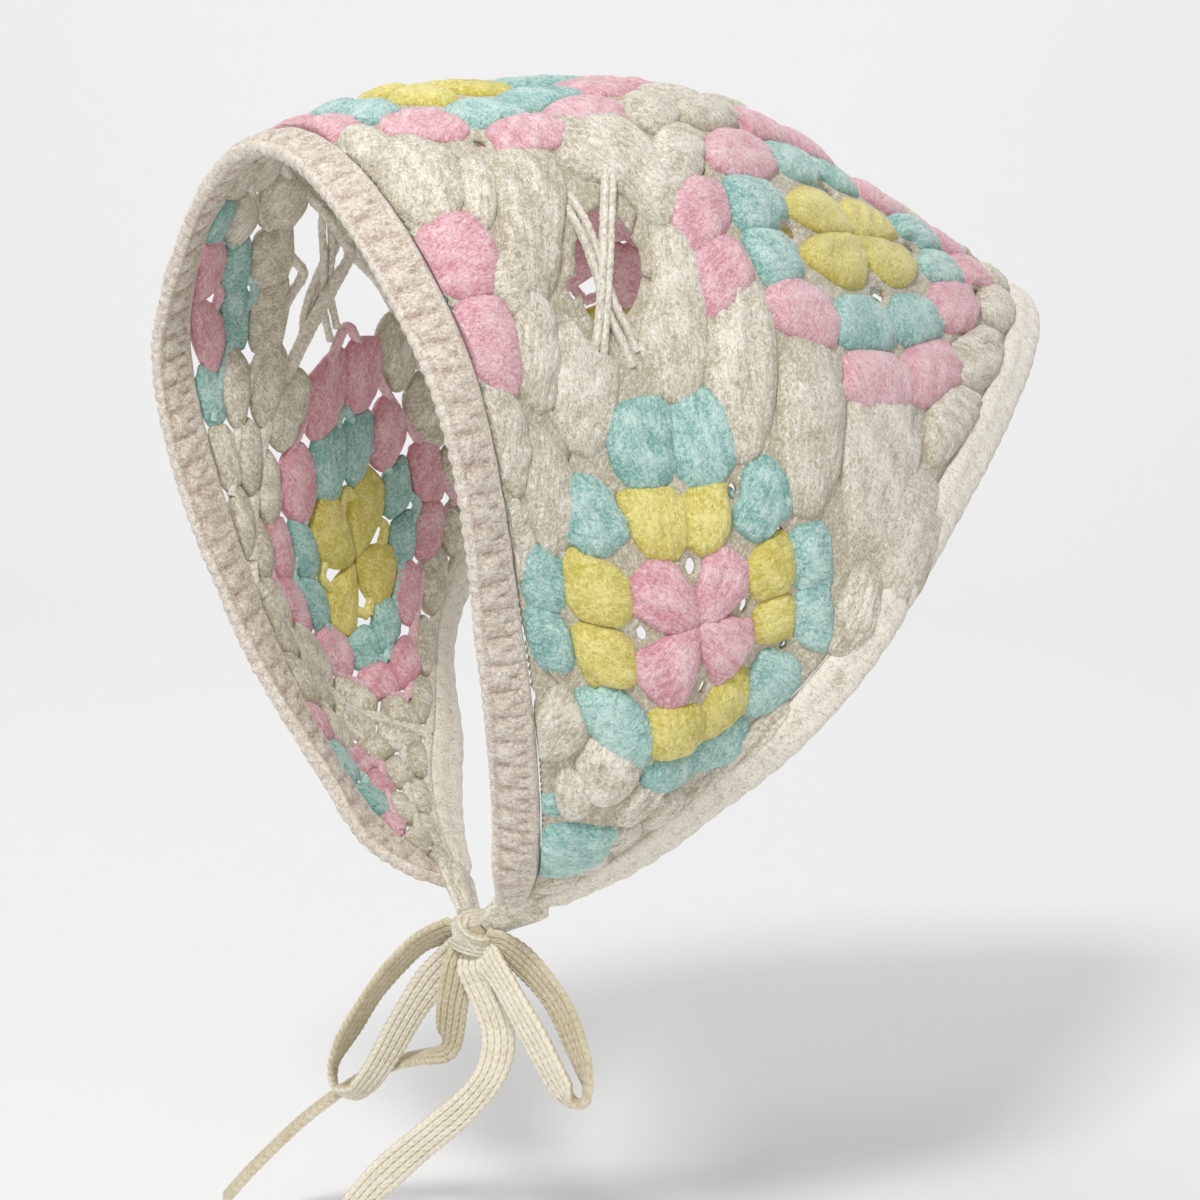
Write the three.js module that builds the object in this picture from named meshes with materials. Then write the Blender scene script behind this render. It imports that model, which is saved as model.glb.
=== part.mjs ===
// A crocheted bonnet of granny squares, worn form: five whole squares and four half squares make a hood
// with a pointed back, edged with a band round the face and a border along the hem, and tied under the
// chin in a bow. Millimetres, +Z up. The face looks along -Y, the wearer's left is +X, and the origin is
// inside the crown.
import * as THREE from 'three';

// Driving dimensions of the hood.
const HALF_WIDTH = 88;          // widest half breadth, at the hem behind the ears
const DEPTH = 241;              // face edge of the squares to the back tip
const FACE_HEIGHT = 206;        // face edge of the squares from crown to chin
const CLOTH_THICKNESS = 4;
const SEAM_GAP = 0.3;           // clearance between neighbouring pieces
const SQUARE_SIDE = 100;        // mean side of a worn square, to turn the seam gap into a share of it

// Trims.
const BAND_WIDTH = 12.5;
const BAND_THICKNESS = 5;
const BORDER_WIDTH = 11.5;
const BORDER_THICKNESS = 4.6;
const CHIN_SHARE = 0.6;         // how far band and border narrow at the chin
const CHIN_REACH = 0.9;         // length of that narrowing, in half diagonals of a square

// Bow.
const KNOT_SIZE = { x: 16, y: 14, z: 13 };
const KNOT_DROP = 10;           // knot below the chin corners
const KNOT_FORWARD = 5;         // knot in front of the chin corners
const TIE_WIDTH = 9.5;
const TIE_THICKNESS = 2.6;
const TIE_SIDES = 10;
const TIE_STEPS = 20;

// Gaps in the crochet: a 4 x 4 array of chain spaces in each square.
const GAP_PLACES = [-0.75, -0.25, 0.25, 0.75];   // shares of a square's half side
const GAP_HALF = 0.06;                           // half width of a gap, the same share
const MID_LINES = [-1, -0.5, 0, 0.5, 1];         // further grid lines of a square

const SEAT_V = 1.5;             // where the crown rests on the head, in half diagonals behind the face edge

const YARN = {
  cream: { color: 0xe2dbcd, roughness: 0.95 },
  pink: { color: 0xdda5bb, roughness: 0.95 },
  aqua: { color: 0x96cdcb, roughness: 0.95 },
  yellow: { color: 0xded676, roughness: 0.95 },
  tie: { color: 0xebe4d2, roughness: 0.9 },
};

// The hood is lofted through slanting sections, each from the face edge up and back to the ridge, one for
// each half square side along the squares. Each point has three shares: across of HALF_WIDTH, back of DEPTH
// and drop of FACE_HEIGHT.
const SECTION_STEP = 0.5;
const SECTIONS = [
  { edge: [0.73, 0.02, 0.22], low: [0.63, 0.07, 0.1], high: [0.36, 0.13, -0.01], ridge: [0, 0.18, -0.05] },
  { edge: [0.74, 0.1, 0.6], low: [0.8, 0.155, 0.34], high: [0.55, 0.33, 0.01], ridge: [0, 0.53, -0.04] },
  { edge: [0.52, 0.18, 0.88], low: [0.91, 0.26, 0.67], high: [0.86, 0.43, 0.25], ridge: [0, 0.79, 0.09] },
  { edge: [0.17, 0.245, 1], low: [0.68, 0.33, 0.84], high: [1, 0.52, 0.54], ridge: [0, 1, 0.21] },
];
const TOP_ALONG_EDGE = [1.86, 0, 0];      // direction of the face edge where it crosses the crown
const TOP_ALONG_RIDGE = [0, 0.33, -0.13]; // direction of the ridge there

const fromShares = ([across, back, drop]) =>
  new THREE.Vector3(across * HALF_WIDTH, back * DEPTH, -drop * FACE_HEIGHT);

const sectionRows = SECTIONS.map((row) => [row.edge, row.low, row.high, row.ridge].map(fromShares));
const topPoint = [0, 1, 2, 3].map(() => new THREE.Vector3());
const rows = [topPoint, ...sectionRows];
const topTangents = [0, 1, 2, 3].map((k) =>
  fromShares(TOP_ALONG_EDGE).lerp(fromShares(TOP_ALONG_RIDGE), k / 3));

// Tangent of column k at row i, per unit along the squares.
function rowTangent(i, k) {
  if (i === 0) return topTangents[k].clone();
  const last = rows.length - 1;
  if (i === last) return rows[last][k].clone().sub(rows[last - 1][k]).divideScalar(SECTION_STEP);
  return rows[i + 1][k].clone().sub(rows[i - 1][k]).divideScalar(2 * SECTION_STEP);
}

function hermite(p0, p1, t0, t1, s, step) {
  const s2 = s * s;
  const s3 = s2 * s;
  return new THREE.Vector3()
    .addScaledVector(p0, 2 * s3 - 3 * s2 + 1)
    .addScaledVector(t0, (s3 - 2 * s2 + s) * step)
    .addScaledVector(p1, -2 * s3 + 3 * s2)
    .addScaledVector(t1, (s3 - s2) * step);
}

// The slanting section at a place along the squares: its four points.
function sectionAt(along) {
  const i = Math.min(Math.floor(along / SECTION_STEP), rows.length - 2);
  const s = along / SECTION_STEP - i;
  return [0, 1, 2, 3].map((k) =>
    hermite(rows[i][k], rows[i + 1][k], rowTangent(i, k), rowTangent(i + 1, k), s, SECTION_STEP));
}

// A point of the left half, at a share of the way up the section at a place along the squares.
function leftPoint(along, share) {
  const [edge, low, high, ridge] = sectionAt(along);
  const before = edge.clone().multiplyScalar(2.5).addScaledVector(low, -2).addScaledVector(high, 0.5);
  const beyond = new THREE.Vector3(-high.x, high.y, high.z);
  const points = [before, edge, low, high, ridge, beyond];
  const k = Math.min(Math.floor(share * 3), 2);
  const [p0, p1, p2, p3] = points.slice(k, k + 4);
  const t1 = p2.clone().sub(p0).divideScalar(2);
  const t2 = p3.clone().sub(p1).divideScalar(2);
  return hermite(p1, p2, t1, t2, share * 3 - k, 1);
}

// Share of the way from face edge to ridge of the corner grid point (a, b), one square a unit in each.
function shareOf(a, b) {
  const span = a + Math.min(a, 1);
  return span < 1e-9 ? 0.5 : THREE.MathUtils.clamp((a + b) / span, 0, 1);
}

// Outer normal of the left half.
function leftNormal(along, share) {
  const step = 1e-4;
  const a = THREE.MathUtils.clamp(along, 10 * step, 2 - step);
  const s = THREE.MathUtils.clamp(share, step, 1 - step);
  const alongA = leftPoint(a + step, s).sub(leftPoint(a - step, s));
  const alongS = leftPoint(a, s + step).sub(leftPoint(a, s - step));
  return alongA.cross(alongS).normalize();
}

// Point on the hood at grid place (a, b), raised along the outer normal. Past the ridge it is mirrored.
function hoodPoint(a, b, lift = 0) {
  const mirrored = b > a;
  const [p, q] = mirrored ? [b, a] : [a, b];
  const share = shareOf(p, q);
  const point = leftPoint(p, share);
  if (lift !== 0) {
    const normal = leftNormal(p, share);
    if (share > 1 - 1e-6) normal.setX(0).normalize();
    point.addScaledVector(normal, lift);
  }
  if (mirrored) point.x = -point.x;
  return point;
}

function material(yarn) {
  return new THREE.MeshStandardMaterial({ ...YARN[yarn], metalness: 0 });
}

function solid(name, positions, indices, yarn) {
  const geometry = new THREE.BufferGeometry();
  const coordinates = positions.flatMap((p) => p.toArray());
  geometry.setAttribute('position', new THREE.Float32BufferAttribute(coordinates, 3));
  geometry.setIndex(indices);
  geometry.computeVertexNormals();
  const mesh = new THREE.Mesh(geometry, material(yarn));
  mesh.name = name;
  return mesh;
}

const gapLines = GAP_PLACES.flatMap((g) => [g - GAP_HALF, g + GAP_HALF]);
const gridLines = [...MID_LINES, ...gapLines].sort((x, y) => x - y);
const isGap = (low, high) => GAP_PLACES.some((g) => low < g && g < high);

// A granny square, or its half beyond the diagonal, as one curved plate with its gaps cut through.
// corner is the grid place of its first corner, and right says that it lies on the wearer's right.
function square(name, corner, yarn, { half = false, right = false } = {}) {
  const inset = SEAM_GAP / SQUARE_SIDE;
  const n = gridLines.length;
  const positions = [];
  const indices = [];
  const place = (line) => (line * (1 - inset) + 1) / 2;
  for (const lift of [CLOTH_THICKNESS / 2, -CLOTH_THICKNESS / 2]) {
    for (let i = 0; i < n; i++) {
      for (let j = 0; j < n; j++) {
        const point = new THREE.Vector3();
        if (!half || i + j >= n - 1) {
          const [a, b] = [corner[0] + place(gridLines[i]), corner[1] + place(gridLines[j])];
          point.copy(hoodPoint(a, b, lift));
        }
        if (right) point.x = -point.x;
        positions.push(point);
      }
    }
  }
  const outer = (i, j) => i * n + j;
  const inner = (i, j) => n * n + i * n + j;
  const filled = (i, j) => {
    if (i < 0 || j < 0 || i > n - 2 || j > n - 2) return false;
    if (half && i + j < n - 2) return false;
    if (half && i + j === n - 2) return true;
    return !(isGap(gridLines[i], gridLines[i + 1]) && isGap(gridLines[j], gridLines[j + 1]));
  };
  const face = (...ring) => {
    const turned = right ? [ring[0], ...ring.slice(1).reverse()] : ring;
    for (let k = 1; k < turned.length - 1; k++) indices.push(turned[0], turned[k], turned[k + 1]);
  };
  // Both sides of a seam split their wall along the same diagonal, from lower inner to higher outer corner.
  const wall = (i0, j0, i1, j1) => {
    if (i0 + j0 < i1 + j1) face(inner(i0, j0), inner(i1, j1), outer(i1, j1), outer(i0, j0));
    else face(inner(i1, j1), outer(i1, j1), outer(i0, j0), inner(i0, j0));
  };
  for (let i = 0; i < n - 1; i++) {
    for (let j = 0; j < n - 1; j++) {
      if (!filled(i, j)) continue;
      const cut = half && i + j === n - 2;
      if (cut) {
        face(outer(i + 1, j), outer(i + 1, j + 1), outer(i, j + 1));
        face(inner(i + 1, j), inner(i, j + 1), inner(i + 1, j + 1));
        wall(i, j + 1, i + 1, j);
      } else {
        face(outer(i, j), outer(i + 1, j), outer(i + 1, j + 1), outer(i, j + 1));
        face(inner(i, j), inner(i, j + 1), inner(i + 1, j + 1), inner(i + 1, j));
        if (!filled(i, j - 1)) wall(i, j, i + 1, j);
        if (!filled(i - 1, j)) wall(i, j + 1, i, j);
      }
      if (!filled(i, j + 1)) wall(i + 1, j + 1, i, j + 1);
      if (!filled(i + 1, j)) wall(i + 1, j, i + 1, j + 1);
    }
  }
  return compact(name, positions, indices, yarn);
}

// Drops the vertices that no face uses.
function compact(name, positions, indices, yarn) {
  const kept = [...new Set(indices)];
  const place = new Map(kept.map((old, k) => [old, k]));
  return solid(name, kept.map((k) => positions[k]), indices.map((k) => place.get(k)), yarn);
}

// A closed solid through rings of equally many points, with flat ends. A loft that runs symmetrically over
// the crown gives the ring at which its second half starts, so that both halves have the same triangles.
function loft(name, rings, yarn, secondHalf = rings.length) {
  const sides = rings[0].length;
  const positions = rings.flat();
  const indices = [];
  for (let r = 0; r < rings.length - 1; r++) {
    for (let k = 0; k < sides; k++) {
      const next = (k + 1) % sides;
      const [a, b] = [r * sides + k, r * sides + next];
      if (r < secondHalf) indices.push(a, b, b + sides, a, b + sides, a + sides);
      else indices.push(a, b, a + sides, b, b + sides, a + sides);
    }
  }
  const last = (rings.length - 1) * sides;
  for (let k = 1; k < sides - 1; k++) {
    indices.push(0, k + 1, k, last, last + k, last + k + 1);
  }
  return solid(name, positions, indices, yarn);
}

// Section of band and border, as shares of width and thickness: rounded at its free side.
const TRIM_PROFILE = [
  [0, 0.4], [0.25, 0.5], [0.75, 0.5], [1, 0.22], [1, -0.22], [0.75, -0.5], [0.25, -0.5], [0, -0.4],
];

// Edge frame: point, direction along the edge, outer normal and outward direction in the cloth.
function edgeFrame(edge, t, inward) {
  const step = 1e-3;
  const point = edge(t);
  const along = edge(t + step).sub(edge(t - step)).normalize();
  const normal = new THREE.Vector3().crossVectors(along, inward(t).sub(point)).normalize();
  const out = new THREE.Vector3().crossVectors(along, normal).normalize();
  return { point, along, normal, out };
}

// Ring of the trim's section at a frame. It is slid along the edge onto the plane of a mitre, if any.
function trimRing(frame, width, thickness, mitre) {
  return TRIM_PROFILE.map(([outShare, upShare]) => {
    const p = frame.point.clone()
      .addScaledVector(frame.out, SEAM_GAP + outShare * width)
      .addScaledVector(frame.normal, upShare * thickness);
    if (mitre) {
      const distance = mitre.point.clone().sub(p).dot(mitre.direction) / frame.along.dot(mitre.direction);
      p.addScaledVector(frame.along, distance);
    }
    return p;
  });
}

// Face edge: t runs from the right chin corner at -4 over the crown at 0 to the left chin corner at 4, in
// half diagonals of a square. Hem: t runs from the left chin corner at -3 round the back tip at 0 to the
// right chin corner at 3.
const EDGE_END = 4;
const HEM_END = 3;
const mirrorIf = (test, point) => (test ? new THREE.Vector3(-point.x, point.y, point.z) : point);
const faceEdge = (t) => mirrorIf(t < 0, leftPoint(Math.abs(t) / 2, 0));
const faceInward = (t) => mirrorIf(t < 0, hoodPoint(Math.abs(t) / 2 + 0.01, 0.01 - Math.abs(t) / 2));
const hemEdge = (t) => mirrorIf(t > 0, leftPoint(2, 1 - Math.abs(t) / 3));
const hemInward = (t) => mirrorIf(t > 0, leftPoint(1.98, 1 - Math.abs(t) / 3));

const chinCorner = hoodPoint(2, -2);
const knotCentre = new THREE.Vector3(0, chinCorner.y - KNOT_FORWARD, chinCorner.z - KNOT_DROP);
const towardKnot = knotCentre.clone().sub(chinCorner).normalize();
const END_STEP = 0.02;
const faceEnd = edgeFrame(faceEdge, EDGE_END - END_STEP, faceInward);
const hemEnd = edgeFrame(hemEdge, END_STEP - HEM_END, hemInward);
const mitreDirection = faceEnd.along.clone().sub(hemEnd.along).normalize();
const leftMitre = { point: chinCorner, direction: mitreDirection };
const rightMitre = {
  point: mirrorIf(true, chinCorner),
  direction: mirrorIf(true, mitreDirection),
};

const chinNarrowing = (left) =>
  THREE.MathUtils.lerp(CHIN_SHARE, 1, THREE.MathUtils.smoothstep(left, 0, CHIN_REACH));

function trim(name, edge, inward, end, width, thickness, places, mitres, yarn) {
  const rings = places.map((t, k) => {
    const frame = edgeFrame(edge, THREE.MathUtils.clamp(t, END_STEP - end, end - END_STEP), inward);
    const mitre = k === 0 ? mitres[0] : k === places.length - 1 ? mitres[1] : null;
    return trimRing(frame, width * chinNarrowing(end - Math.abs(t)), thickness, mitre);
  });
  return loft(name, rings, yarn, (rings.length - 1) / 2);
}

// Stations of a trim lie at the grid lines of the squares that it edges, from one chin corner to the other.
function trimPlaces(end, perSquare) {
  const places = [];
  for (let start = 0; start < end; start += perSquare) {
    for (const line of gridLines.slice(0, -1)) places.push(start + (perSquare * (line + 1)) / 2);
  }
  return [...places.slice(1).map((t) => -t), -end, ...places, end].sort((x, y) => x - y);
}

// Where a piece that meets the knot along a direction ends: its end plane just clears the knot.
function knotReach(direction) {
  const { x, y, z } = KNOT_SIZE;
  return Math.hypot((x / 2) * direction.x, (y / 2) * direction.y, (z / 2) * direction.z) + SEAM_GAP;
}

// The gathered corner from the mitred ends of band and border down to the knot.
function chinGather(name, right) {
  const start = trimRing(faceEnd, BAND_WIDTH * CHIN_SHARE, BAND_THICKNESS, leftMitre)
    .concat(trimRing(hemEnd, BORDER_WIDTH * CHIN_SHARE, BORDER_THICKNESS, leftMitre));
  const across = faceEnd.out.clone().sub(hemEnd.out);
  across.addScaledVector(mitreDirection, -across.dot(mitreDirection)).normalize();
  const up = new THREE.Vector3().crossVectors(mitreDirection, across).normalize();
  const offsets = start.map((p) => p.clone().sub(chinCorner).dot(across));
  const [low, high] = [Math.min(...offsets), Math.max(...offsets)];
  const firstCentre = chinCorner.clone()
    .addScaledVector(across, (low + high) / 2)
    .addScaledVector(mitreDirection, SEAM_GAP);
  const fromKnot = towardKnot.clone().negate();
  const lastCentre = knotCentre.clone().addScaledVector(fromKnot, knotReach(fromKnot));
  const endAcross = across.clone().addScaledVector(towardKnot, -across.dot(towardKnot)).normalize();
  const endUp = new THREE.Vector3().crossVectors(towardKnot, endAcross).normalize();
  const steps = 4;
  const rings = Array.from({ length: steps + 1 }, (_, k) => {
    const s = k / steps;
    const centre = firstCentre.clone().lerp(lastCentre, s);
    const u = across.clone().lerp(endAcross, s).normalize();
    const v = up.clone().lerp(endUp, s).normalize();
    const narrowed = THREE.MathUtils.smoothstep(s, 0, 1);
    const halfWide = THREE.MathUtils.lerp((high - low) / 2, TIE_WIDTH / 2, narrowed);
    const halfThick = THREE.MathUtils.lerp(BORDER_THICKNESS, BAND_THICKNESS, s) / 2;
    return Array.from({ length: TIE_SIDES }, (_unused, c) => {
      const angle = (2 * Math.PI * c) / TIE_SIDES;
      const point = centre.clone()
        .addScaledVector(u, halfWide * Math.cos(angle))
        .addScaledVector(v, halfThick * Math.sin(angle));
      return mirrorIf(right, point);
    });
  });
  return loft(name, right ? rings.map((ring) => ring.reverse()) : rings, 'tie');
}

// Routes of the bow's cords, from the knot's centre: across, back and up, in millimetres. Both ends of a
// loop and the first end of a tail give only the direction in which the cord leaves the knot.
const BOW_ROUTES = {
  bow_loop_right: [
    [-8, -0.5, -1], [-14, -2.7, -2.6], [-20.1, -5.4, -6.2], [-26.9, -8.4, -13.2],
    [-33.1, -11.3, -21.2], [-38.6, -13.5, -29.5], [-43.2, -15.7, -37.9], [-46.7, -16.7, -45.4],
    [-46.2, -16.2, -50.9], [-41.2, -13.7, -51.9], [-37.2, -10.7, -47.4], [-33.1, -8, -40],
    [-29.1, -5.8, -32.2], [-25, -3.6, -24.8], [-20.1, -1.6, -17.8], [-14.2, 0, -11.2],
    [-6.8, 0.3, -4.7],
  ],
  bow_loop_left: [
    [6.5, -0.5, -5], [12, -1, -8.5], [16.3, -1.2, -11.5], [20, -1, -15.2], [23, 0, -19.5],
    [26, 1.5, -24.5], [29, 3, -30], [31.5, 4.5, -35], [34.5, 6, -39], [38.5, 7.5, -40], [40, 8.3, -36],
    [38.5, 8, -30], [35.5, 7.5, -24], [32, 7, -18.2], [28, 6, -13], [22.3, 4.5, -8], [15.5, 3, -3.8],
    [8, 1, -1],
  ],
  tie_tail_right: [
    [-2.2, -2, -6.3], [-4.6, -3, -13.5], [-7.2, -2.8, -20.5], [-10, -1.6, -27.5], [-13.6, 0.2, -34],
    [-20.5, 1.6, -38.2], [-29, 1.4, -41.3], [-37.4, 0, -44.2], [-44.8, -3, -48],
    [-51.8, -7.4, -52.8], [-57.6, -12.8, -58.6], [-62.4, -18.8, -65], [-66.6, -24.8, -72],
    [-70.2, -30.8, -79], [-74, -37, -87],
  ],
  tie_tail_left: [
    [2.2, -2, -6.2], [3.6, -1, -13], [5.8, 0.8, -19.5], [7.4, 2, -25.5], [8, 1.6, -31.5],
    [7.4, -0.2, -37.5], [5.2, -3.2, -43], [1.8, -7, -48.5], [-2, -11.2, -53.5], [-5.8, -15.6, -58.5],
    [-9.4, -20, -63.5], [-13, -24.4, -69], [-16.2, -28.6, -75], [-19.2, -32.6, -81.5],
    [-22, -36.4, -88],
  ],
};

// Flat section of a tie, rounded at both edges.
function tieSection() {
  const points = Array.from({ length: TIE_SIDES }, (_, k) => {
    const angle = (2 * Math.PI * (k + 0.5)) / TIE_SIDES;
    return new THREE.Vector2((TIE_WIDTH / 2) * Math.cos(angle), (TIE_THICKNESS / 2) * Math.sin(angle));
  });
  return new THREE.Shape(points);
}

// The straight start of a cord at the knot, from the direction in which it leaves: its end and a point
// further out.
function leavingKnot(direction) {
  const reach = knotReach(direction.normalize());
  return [reach, reach + TIE_THICKNESS].map((length) => direction.clone().setLength(length));
}

function cord(name) {
  const route = BOW_ROUTES[name].map((p) => new THREE.Vector3(...p));
  const isLoop = name.startsWith('bow_loop');
  const end = isLoop ? leavingKnot(route.pop()).reverse() : [];
  const points = [...leavingKnot(route.shift()), ...route, ...end].map((p) => p.add(knotCentre));
  const path = new THREE.CatmullRomCurve3(points, false, 'centripetal');
  const geometry = new THREE.ExtrudeGeometry(tieSection(), {
    steps: TIE_STEPS, bevelEnabled: false, extrudePath: path,
  });
  const mesh = new THREE.Mesh(geometry, material('tie'));
  mesh.name = name;
  return mesh;
}

function knot() {
  const geometry = new THREE.SphereGeometry(0.5, 16, 10);
  geometry.scale(KNOT_SIZE.x, KNOT_SIZE.y, KNOT_SIZE.z);
  const mesh = new THREE.Mesh(geometry, material('tie'));
  mesh.name = 'bow_knot';
  mesh.position.copy(knotCentre);
  return mesh;
}

const hood = new THREE.Group();
hood.add(
  square('square_crown', [0, 0], 'cream'),
  square('square_side_left', [1, -1], 'aqua'),
  square('square_side_right', [1, -1], 'aqua', { right: true }),
  square('square_back_left', [1, 0], 'yellow'),
  square('square_back_right', [1, 0], 'yellow', { right: true }),
  square('half_temple_left', [0, -1], 'pink', { half: true }),
  square('half_temple_right', [0, -1], 'pink', { half: true, right: true }),
  square('half_chin_left', [1, -2], 'aqua', { half: true }),
  square('half_chin_right', [1, -2], 'aqua', { half: true, right: true }),
  trim('front_band', faceEdge, faceInward, EDGE_END, BAND_WIDTH, BAND_THICKNESS,
    trimPlaces(EDGE_END, 2), [rightMitre, leftMitre], 'cream'),
  trim('back_border', hemEdge, hemInward, HEM_END, BORDER_WIDTH, BORDER_THICKNESS,
    trimPlaces(HEM_END, 1), [leftMitre, rightMitre], 'cream'),
  chinGather('corner_left', false),
  chinGather('corner_right', true),
  knot(),
  ...Object.keys(BOW_ROUTES).map(cord),
);

// The crown's inner face rests on the head at the origin.
const seat = hoodPoint(SEAT_V / 2, SEAT_V / 2, -CLOTH_THICKNESS / 2);
hood.position.copy(seat).negate();

const bonnet = new THREE.Group();
bonnet.add(hood);

export default bonnet;
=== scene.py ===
import bpy
import numpy as np
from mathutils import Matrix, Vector


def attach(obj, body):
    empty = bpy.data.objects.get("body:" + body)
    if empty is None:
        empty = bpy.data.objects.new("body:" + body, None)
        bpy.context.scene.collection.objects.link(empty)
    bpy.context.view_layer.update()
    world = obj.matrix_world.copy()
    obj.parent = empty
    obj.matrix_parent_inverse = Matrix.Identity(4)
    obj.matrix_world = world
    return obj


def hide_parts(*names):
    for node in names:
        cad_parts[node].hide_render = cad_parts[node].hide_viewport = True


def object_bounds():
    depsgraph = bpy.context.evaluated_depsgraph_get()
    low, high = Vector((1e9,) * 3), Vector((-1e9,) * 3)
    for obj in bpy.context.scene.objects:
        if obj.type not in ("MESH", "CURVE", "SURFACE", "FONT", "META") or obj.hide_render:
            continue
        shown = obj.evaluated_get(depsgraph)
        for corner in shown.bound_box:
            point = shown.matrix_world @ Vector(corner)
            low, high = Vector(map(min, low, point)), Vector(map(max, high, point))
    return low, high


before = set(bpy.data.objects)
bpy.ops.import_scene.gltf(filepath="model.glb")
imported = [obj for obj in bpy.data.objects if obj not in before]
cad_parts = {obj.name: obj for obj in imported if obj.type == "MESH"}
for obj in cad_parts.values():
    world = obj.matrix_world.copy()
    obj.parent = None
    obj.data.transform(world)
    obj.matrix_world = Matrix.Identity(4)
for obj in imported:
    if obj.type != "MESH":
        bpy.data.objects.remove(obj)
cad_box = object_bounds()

# Sizes in millimetres, as in the part's source. Meshes are made in millimetres and written in metres.
HALF_WIDTH, DEPTH, FACE_HEIGHT = 88.0, 241.0, 206.0
CLOTH_THICKNESS = 4.0
SEAM_GAP = 0.3
BAND_WIDTH, BAND_THICKNESS = 12.5, 5.0
BORDER_WIDTH, BORDER_THICKNESS = 11.5, 4.6
CHIN_SHARE, CHIN_REACH = 0.6, 0.9
KNOT_SIZE = np.array([16.0, 14.0, 13.0])
KNOT_DROP, KNOT_FORWARD = 10.0, 5.0
TIE_WIDTH, TIE_THICKNESS = 9.5, 2.6
SECTIONS = [
    ([0.73, 0.02, 0.22], [0.63, 0.07, 0.1], [0.36, 0.13, -0.01], [0, 0.18, -0.05]),
    ([0.74, 0.1, 0.6], [0.8, 0.155, 0.34], [0.55, 0.33, 0.01], [0, 0.53, -0.04]),
    ([0.52, 0.18, 0.88], [0.91, 0.26, 0.67], [0.86, 0.43, 0.25], [0, 0.79, 0.09]),
    ([0.17, 0.245, 1], [0.68, 0.33, 0.84], [1, 0.52, 0.54], [0, 1, 0.21]),
]
TOP_ALONG_EDGE, TOP_ALONG_RIDGE = [1.86, 0, 0], [0, 0.33, -0.13]
SEAT_V = 1.5

SHARES = np.array([HALF_WIDTH, DEPTH, -FACE_HEIGHT])
ROWS = np.zeros((5, 4, 3))
ROWS[1:] = np.array(SECTIONS) * SHARES
TANGENTS = np.zeros_like(ROWS)
for k in range(4):
    TANGENTS[0, k] = (np.array(TOP_ALONG_EDGE) * SHARES * (1 - k / 3)
                      + np.array(TOP_ALONG_RIDGE) * SHARES * k / 3)
for k in (1, 2, 3):
    TANGENTS[k] = ROWS[k + 1] - ROWS[k - 1]
TANGENTS[4] = (ROWS[4] - ROWS[3]) / 0.5


def unit(v):
    return v / np.maximum(np.linalg.norm(v, axis=-1, keepdims=True), 1e-12)


def hermite(p0, p1, t0, t1, s, step):
    """Cubic from p0 to p1 with the tangents t0 and t1, over a step of the parameter."""
    s = s[..., None]
    s2, s3 = s * s, s * s * s
    return ((2 * s3 - 3 * s2 + 1) * p0 + (s3 - 2 * s2 + s) * step * t0
            + (3 * s2 - 2 * s3) * p1 + (s3 - s2) * step * t1)


def left_point(along, share):
    """Point of the left half: a place along it, from 0 at the front to 2, and a share from edge to ridge."""
    along, share = np.broadcast_arrays(np.asarray(along, float), np.asarray(share, float))
    i = np.clip((along / 0.5).astype(int), 0, 3)
    s = along / 0.5 - i
    c = [hermite(ROWS[i, k], ROWS[i + 1, k], TANGENTS[i, k], TANGENTS[i + 1, k], s, 0.5) for k in range(4)]
    q = np.stack([2.5 * c[0] - 2 * c[1] + 0.5 * c[2], *c, c[2] * np.array([-1, 1, 1])])
    k = np.clip((share * 3).astype(int), 0, 2)
    p0, p1, p2, p3 = (np.take_along_axis(q, (k + d)[None, ..., None], 0)[0] for d in range(4))
    return hermite(p1, p2, (p2 - p0) / 2, (p3 - p1) / 2, share * 3 - k, 1.0)


def left_normal(along, share):
    h = 1e-4
    a, s = np.clip(along, 10 * h, 2 - h), np.clip(share, h, 1 - h)
    return unit(np.cross(left_point(a + h, s) - left_point(a - h, s),
                         left_point(a, s + h) - left_point(a, s - h)))


def hood(a, b):
    """Point and outer normal at grid place (a, b), one square a unit in each."""
    a, b = np.broadcast_arrays(np.asarray(a, float), np.asarray(b, float))
    mirrored = b > a
    p, q = np.where(mirrored, b, a), np.where(mirrored, a, b)
    span = p + np.minimum(p, 1)
    share = np.where(span < 1e-9, 0.5, np.clip((p + q) / np.maximum(span, 1e-9), 0, 1))
    point, normal = left_point(p, share), left_normal(p, share)
    normal[share > 1 - 1e-6, 0] = 0
    normal = unit(normal)
    point[mirrored, 0] *= -1
    normal[mirrored, 0] *= -1
    return point, normal


SEAT = hood(np.array([SEAT_V / 2]), np.array([SEAT_V / 2]))
SEAT = (SEAT[0] - SEAT[1] * CLOTH_THICKNESS / 2)[0]
CHIN = hood(np.array([2.0]), np.array([-2.0]))[0][0]
KNOT = np.array([0, CHIN[1] - KNOT_FORWARD, CHIN[2] - KNOT_DROP])

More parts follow.
